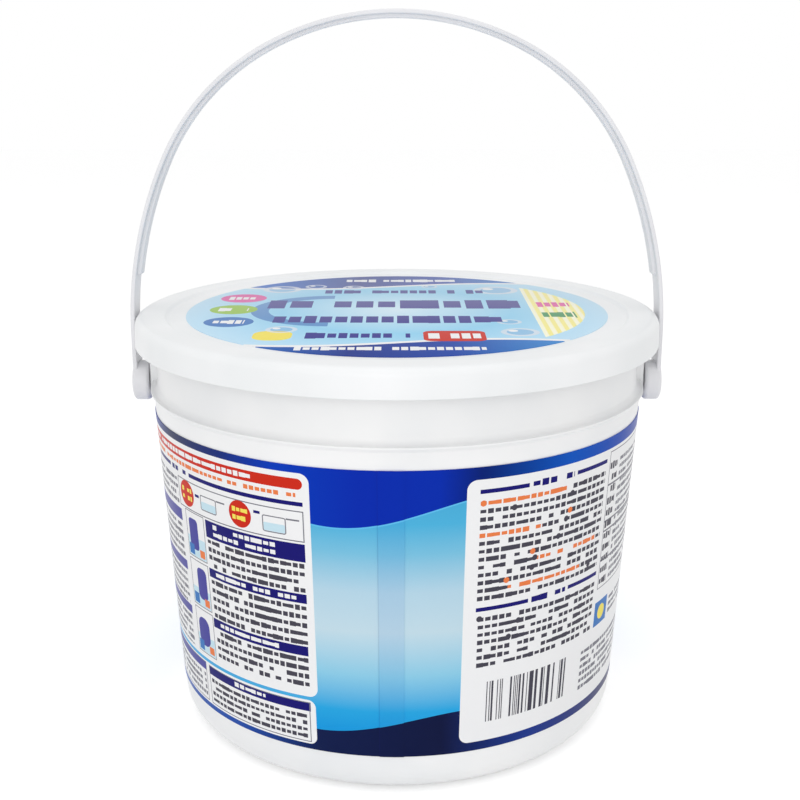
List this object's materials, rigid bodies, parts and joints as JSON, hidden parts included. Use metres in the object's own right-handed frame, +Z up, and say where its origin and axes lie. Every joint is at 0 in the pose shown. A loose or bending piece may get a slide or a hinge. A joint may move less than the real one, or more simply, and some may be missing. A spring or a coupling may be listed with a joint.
{
  "type": "stain remover container",
  "caption": "White plastic tub of washing powder with a press-on lid, an upright carrying handle, printed films on side and lid, and a measuring scoop inside.",
  "frame": {"origin": "middle of the tub's base, on the surface it stands on", "axes": "+Z up, X along the line through the handle's two pivots, the wrap film's seam at -Y"},
  "size_m": [0.1782, 0.1734, 0.2336],
  "materials": {
    "tub_plastic": "white moulded polypropylene, soft gloss",
    "lid_plastic": "white moulded polypropylene, satin",
    "handle_plastic": "natural white moulded polypropylene, soft gloss",
    "wrap_film": "glossy printed film, blue bands over a pale blue field with white panels",
    "lid_film": "glossy printed film, light blue with darker blue edges",
    "washing_powder": "loose white granules",
    "scoop_plastic": "thin white moulded polypropylene"
  },
  "bodies": {
    "container": {"tub": "tub_plastic", "body_label": "wrap_film", "powder": "washing_powder", "scoop": "scoop_plastic"},
    "lid": {"lid": "lid_plastic", "lid_label": "lid_film"},
    "handle": {"handle": "handle_plastic"}
  },
  "joints": [
    {"name": "lid_lift", "type": "slide", "parent": "container", "child": "lid", "axis": [0, 0, 1], "range_m": [0, 0.006]},
    {"name": "handle_swing", "type": "hinge", "parent": "container", "child": "handle", "pos_m": [0, 0, 0.113], "axis": [1, 0, 0], "range_deg": [-135, 135]}
  ]
}
